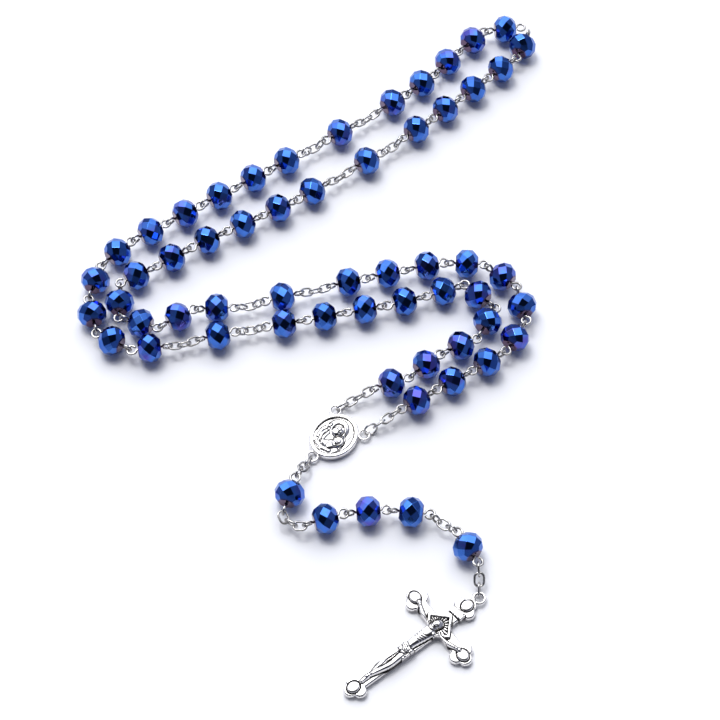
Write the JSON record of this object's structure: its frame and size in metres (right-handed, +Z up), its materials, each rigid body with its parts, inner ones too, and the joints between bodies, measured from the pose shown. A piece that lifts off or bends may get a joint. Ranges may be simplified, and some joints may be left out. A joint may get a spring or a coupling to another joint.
{
  "type": "rosary",
  "caption": "Rosary of faceted glass beads on hooked wire eye pins and chain links, with an oval centre medal and a pendant crucifix, lying in a doubled strand.",
  "frame": {"origin": "middle of the centre medal's back face, on the table that the rosary lies on", "axes": "+Z up from the table; +Y along the doubled strand, away from the medal; +X to the right, towards the crucifix's bail"},
  "size_m": [0.126, 0.2066, 0.008],
  "materials": {
    "bead_glass": "faceted, opaque metallic blue coating",
    "silver_wire": "bright silver-plated wire",
    "antique_silver": "cast and silver plated, dark in the recesses"
  },
  "bodies": {
    "medal": {"centre_medal": "antique_silver"},
    "left_strand_links": {"left_strand_links": "silver_wire"},
    "decade_1_a": {"decade_1_pins_a": "silver_wire", "decade_1_beads_a": "bead_glass"},
    "decade_1_b": {"decade_1_pins_b": "silver_wire", "decade_1_beads_b": "bead_glass"},
    "decade_1_c": {"decade_1_pins_c": "silver_wire", "decade_1_beads_c": "bead_glass"},
    "our_father_1": {"our_father_links_1": "silver_wire", "our_father_pin_1": "silver_wire"},
    "decade_2_a": {"decade_2_pins_a": "silver_wire", "decade_2_beads_a": "bead_glass"},
    "decade_2_b": {"decade_2_pins_b": "silver_wire", "decade_2_beads_b": "bead_glass"},
    "decade_2_c": {"decade_2_pins_c": "silver_wire", "decade_2_beads_c": "bead_glass"},
    "our_father_2": {"our_father_links_2": "silver_wire", "our_father_pin_2": "silver_wire"},
    "decade_3_a": {"decade_3_pins_a": "silver_wire", "decade_3_beads_a": "bead_glass"},
    "decade_3_b": {"decade_3_pins_b": "silver_wire", "decade_3_beads_b": "bead_glass"},
    "our_father_3": {"our_father_links_3": "silver_wire", "our_father_pin_3": "silver_wire"},
    "decade_4_a": {"decade_4_pins_a": "silver_wire", "decade_4_beads_a": "bead_glass"},
    "decade_4_b": {"decade_4_pins_b": "silver_wire", "decade_4_beads_b": "bead_glass"},
    "decade_4_c": {"decade_4_pins_c": "silver_wire", "decade_4_beads_c": "bead_glass"},
    "our_father_4": {"our_father_links_4": "silver_wire", "our_father_pin_4": "silver_wire"},
    "decade_5_a": {"decade_5_pins_a": "silver_wire", "decade_5_beads_a": "bead_glass"},
    "decade_5_b": {"decade_5_pins_b": "silver_wire", "decade_5_beads_b": "bead_glass"},
    "decade_5_c": {"decade_5_pins_c": "silver_wire", "decade_5_beads_c": "bead_glass"},
    "right_strand_links": {"right_strand_links": "silver_wire"},
    "jump_ring": {"jump_ring": "silver_wire"},
    "pendant_links_1": {"pendant_links_1": "silver_wire"},
    "our_father_5": {"our_father_pin_5": "silver_wire"},
    "pendant_links_2": {"pendant_links_2": "silver_wire"},
    "pendant_1": {"pendant_pin_1": "silver_wire"},
    "pendant_2": {"pendant_pin_2": "silver_wire"},
    "pendant_3": {"pendant_pin_3": "silver_wire"},
    "pendant_links_3": {"pendant_links_3": "silver_wire"},
    "our_father_6": {"our_father_pin_6": "silver_wire"},
    "pendant_links_4": {"pendant_links_4": "silver_wire"},
    "our_father_bead_1": {"our_father_bead_1": "bead_glass"},
    "our_father_bead_2": {"our_father_bead_2": "bead_glass"},
    "our_father_bead_3": {"our_father_bead_3": "bead_glass"},
    "our_father_bead_4": {"our_father_bead_4": "bead_glass"},
    "our_father_bead_5": {"our_father_bead_5": "bead_glass"},
    "pendant_bead_1": {"pendant_bead_1": "bead_glass"},
    "pendant_bead_2": {"pendant_bead_2": "bead_glass"},
    "pendant_bead_3": {"pendant_bead_3": "bead_glass"},
    "our_father_bead_6": {"our_father_bead_6": "bead_glass"},
    "crucifix": {"crucifix": "antique_silver"}
  },
  "joints": [
    {"name": "left_strand_lift", "type": "hinge", "parent": "medal", "child": "left_strand_links", "pos_m": [0.00171, 0.00844, 0.00145], "axis": [0.4462, -0.8949, 0], "range_deg": [-30, 30]},
    {"name": "decade_1_a_lift", "type": "hinge", "parent": "left_strand_links", "child": "decade_1_a", "pos_m": [0.01047, 0.01263, 0.004], "axis": [-0.3432, 0.9393, 0], "range_deg": [-30, 30]},
    {"name": "decade_1_b_lift", "type": "hinge", "parent": "decade_1_a", "child": "decade_1_b", "pos_m": [0.03818, 0.02891, 0.004], "axis": [0.873, -0.4877, 0], "range_deg": [-30, 30]},
    {"name": "decade_1_c_lift", "type": "hinge", "parent": "decade_1_b", "child": "decade_1_c", "pos_m": [0.01249, 0.03767, 0.004], "axis": [0.1948, -0.9808, 0], "range_deg": [-30, 30]},
    {"name": "our_father_1_lift", "type": "hinge", "parent": "decade_1_c", "child": "our_father_1", "pos_m": [-0.0195, 0.03116, 0.004], "axis": [-0.1778, 0.9841, 0], "range_deg": [-30, 30]},
    {"name": "decade_2_a_lift", "type": "hinge", "parent": "our_father_1", "child": "decade_2_a", "pos_m": [-0.04391, 0.02542, 0.004], "axis": [0.1336, -0.991, 0], "range_deg": [-30, 30]},
    {"name": "decade_2_b_lift", "type": "hinge", "parent": "decade_2_a", "child": "decade_2_b", "pos_m": [-0.06534, 0.04128, 0.004], "axis": [0.9726, -0.2323, 0], "range_deg": [-30, 30]},
    {"name": "decade_2_c_lift", "type": "hinge", "parent": "decade_2_b", "child": "decade_2_c", "pos_m": [-0.03598, 0.07086, 0.004], "axis": [-0.5412, 0.8409, 0], "range_deg": [-30, 30]},
    {"name": "our_father_2_lift", "type": "hinge", "parent": "decade_2_c", "child": "our_father_2", "pos_m": [-0.00856, 0.08858, 0.004], "axis": [0.5559, -0.8313, 0], "range_deg": [-30, 30]},
    {"name": "decade_3_a_lift", "type": "hinge", "parent": "our_father_2", "child": "decade_3_a", "pos_m": [0.01214, 0.10277, 0.004], "axis": [-0.5984, 0.8012, 0], "range_deg": [-30, 30]},
    {"name": "jump_ring_lift", "type": "hinge", "parent": "medal", "child": "jump_ring", "pos_m": [0.00946, 0.00166, 0.00194], "axis": [-0.5257, 0.8507, 0], "range_deg": [-30, 30]},
    {"name": "right_strand_lift", "type": "hinge", "parent": "jump_ring", "child": "right_strand_links", "pos_m": [0.01115, 0.00271, 0.00246], "axis": [0.5257, -0.8507, 0], "range_deg": [-30, 30]},
    {"name": "decade_5_c_lift", "type": "hinge", "parent": "right_strand_links", "child": "decade_5_c", "pos_m": [0.01617, 0.00581, 0.004], "axis": [-0.5264, 0.8503, 0], "range_deg": [-30, 30]},
    {"name": "decade_5_b_lift", "type": "hinge", "parent": "decade_5_c", "child": "decade_5_b", "pos_m": [0.04381, 0.02318, 0.004], "axis": [0.5582, -0.8297, 0], "range_deg": [-30, 30]},
    {"name": "decade_5_a_lift", "type": "hinge", "parent": "decade_5_b", "child": "decade_5_a", "pos_m": [0.0308, 0.05142, 0.004], "axis": [-0.0531, -0.9986, 0], "range_deg": [-30, 30]},
    {"name": "our_father_4_lift", "type": "hinge", "parent": "decade_5_a", "child": "our_father_4", "pos_m": [-0.00101, 0.04413, 0.004], "axis": [-0.2507, 0.9681, 0], "range_deg": [-30, 30]},
    {"name": "decade_4_c_lift", "type": "hinge", "parent": "our_father_4", "child": "decade_4_c", "pos_m": [-0.02525, 0.03766, 0.004], "axis": [0.2129, -0.9771, 0], "range_deg": [-30, 30]},
    {"name": "decade_4_b_lift", "type": "hinge", "parent": "decade_4_c", "child": "decade_4_b", "pos_m": [-0.05585, 0.03373, 0.004], "axis": [0.2802, 0.96, 0], "range_deg": [-30, 30]},
    {"name": "decade_4_a_lift", "type": "hinge", "parent": "decade_4_b", "child": "decade_4_a", "pos_m": [-0.03075, 0.06106, 0.004], "axis": [-0.4889, 0.8723, 0], "range_deg": [-30, 30]},
    {"name": "our_father_3_lift", "type": "hinge", "parent": "decade_4_a", "child": "our_father_3", "pos_m": [-0.00258, 0.0776, 0.004], "axis": [0.563, -0.8265, 0], "range_deg": [-30, 30]},
    {"name": "decade_3_b_lift", "type": "hinge", "parent": "our_father_3", "child": "decade_3_b", "pos_m": [0.01778, 0.09225, 0.004], "axis": [-0.6321, 0.7749, 0], "range_deg": [-30, 30]},
    {"name": "pendant_chain_1_swing", "type": "hinge", "parent": "medal", "child": "pendant_links_1", "pos_m": [-0.00549, -0.00568, 0.0011], "axis": [0, 0, 1], "range_deg": [-35, 35]},
    {"name": "our_father_5_swing", "type": "hinge", "parent": "pendant_links_1", "child": "our_father_5", "pos_m": [-0.00969, -0.01311, 0.004], "axis": [0, 0, -1], "range_deg": [-35, 35]},
    {"name": "pendant_chain_2_swing", "type": "hinge", "parent": "our_father_5", "child": "pendant_links_2", "pos_m": [-0.01267, -0.02352, 0.00371], "axis": [0, 0, 1], "range_deg": [-35, 35]},
    {"name": "pendant_1_swing", "type": "hinge", "parent": "pendant_links_2", "child": "pendant_1", "pos_m": [-0.00774, -0.02645, 0.00371], "axis": [0, 0, -1], "range_deg": [-35, 35]},
    {"name": "pendant_2_swing", "type": "hinge", "parent": "pendant_1", "child": "pendant_2", "pos_m": [0.00256, -0.02314, 0.004], "axis": [0, 0, 1], "range_deg": [-35, 35]},
    {"name": "pendant_3_swing", "type": "hinge", "parent": "pendant_2", "child": "pendant_3", "pos_m": [0.01341, -0.02206, 0.004], "axis": [0, 0, -1], "range_deg": [-35, 35]},
    {"name": "pendant_chain_3_swing", "type": "hinge", "parent": "pendant_3", "child": "pendant_links_3", "pos_m": [0.02423, -0.02337, 0.004], "axis": [0, 0, 1], "range_deg": [-35, 35]},
    {"name": "our_father_6_swing", "type": "hinge", "parent": "pendant_links_3", "child": "our_father_6", "pos_m": [0.03099, -0.0282, 0.004], "axis": [0, 0, -1], "range_deg": [-35, 35]},
    {"name": "pendant_chain_4_swing", "type": "hinge", "parent": "our_father_6", "child": "pendant_links_4", "pos_m": [0.0358, -0.03628, 0.004], "axis": [0, 0, 1], "range_deg": [-35, 35]},
    {"name": "crucifix_swing", "type": "hinge", "parent": "pendant_links_4", "child": "crucifix", "pos_m": [0.03598, -0.04478, 0.0012], "axis": [0, 0, -1], "range_deg": [-40, 40]},
    {"name": "our_father_bead_1_spin", "type": "hinge", "parent": "our_father_1", "child": "our_father_bead_1", "pos_m": [-0.0308, 0.02872, 0.004], "axis": [-0.9711, -0.2388, 0], "continuous": true},
    {"name": "our_father_bead_2_spin", "type": "hinge", "parent": "our_father_2", "child": "our_father_bead_2", "pos_m": [0.00105, 0.09501, 0.004], "axis": [0.8294, 0.5586, 0], "continuous": true},
    {"name": "our_father_bead_3_spin", "type": "hinge", "parent": "our_father_3", "child": "our_father_bead_3", "pos_m": [0.00859, 0.08525, 0.004], "axis": [-0.8233, -0.5676, 0], "continuous": true},
    {"name": "our_father_bead_4_spin", "type": "hinge", "parent": "our_father_4", "child": "our_father_bead_4", "pos_m": [-0.01408, 0.04061, 0.004], "axis": [0.963, 0.2695, 0], "continuous": true},
    {"name": "our_father_bead_5_spin", "type": "hinge", "parent": "our_father_5", "child": "our_father_bead_5", "pos_m": [-0.01098, -0.01763, 0.004], "axis": [-0.2754, -0.9613, 0], "continuous": true},
    {"name": "pendant_bead_1_spin", "type": "hinge", "parent": "pendant_1", "child": "pendant_bead_1", "pos_m": [-0.00192, -0.02458, 0.004], "axis": [0.9521, 0.3058, 0], "continuous": true},
    {"name": "pendant_bead_2_spin", "type": "hinge", "parent": "pendant_2", "child": "pendant_bead_2", "pos_m": [0.00873, -0.02253, 0.004], "axis": [0.9951, 0.0988, 0], "continuous": true},
    {"name": "pendant_bead_3_spin", "type": "hinge", "parent": "pendant_3", "child": "pendant_bead_3", "pos_m": [0.01956, -0.02281, 0.004], "axis": [0.9928, -0.1197, 0], "continuous": true},
    {"name": "our_father_bead_6_spin", "type": "hinge", "parent": "our_father_6", "child": "our_father_bead_6", "pos_m": [0.03339, -0.03224, 0.004], "axis": [0.5117, -0.8592, 0], "continuous": true}
  ]
}
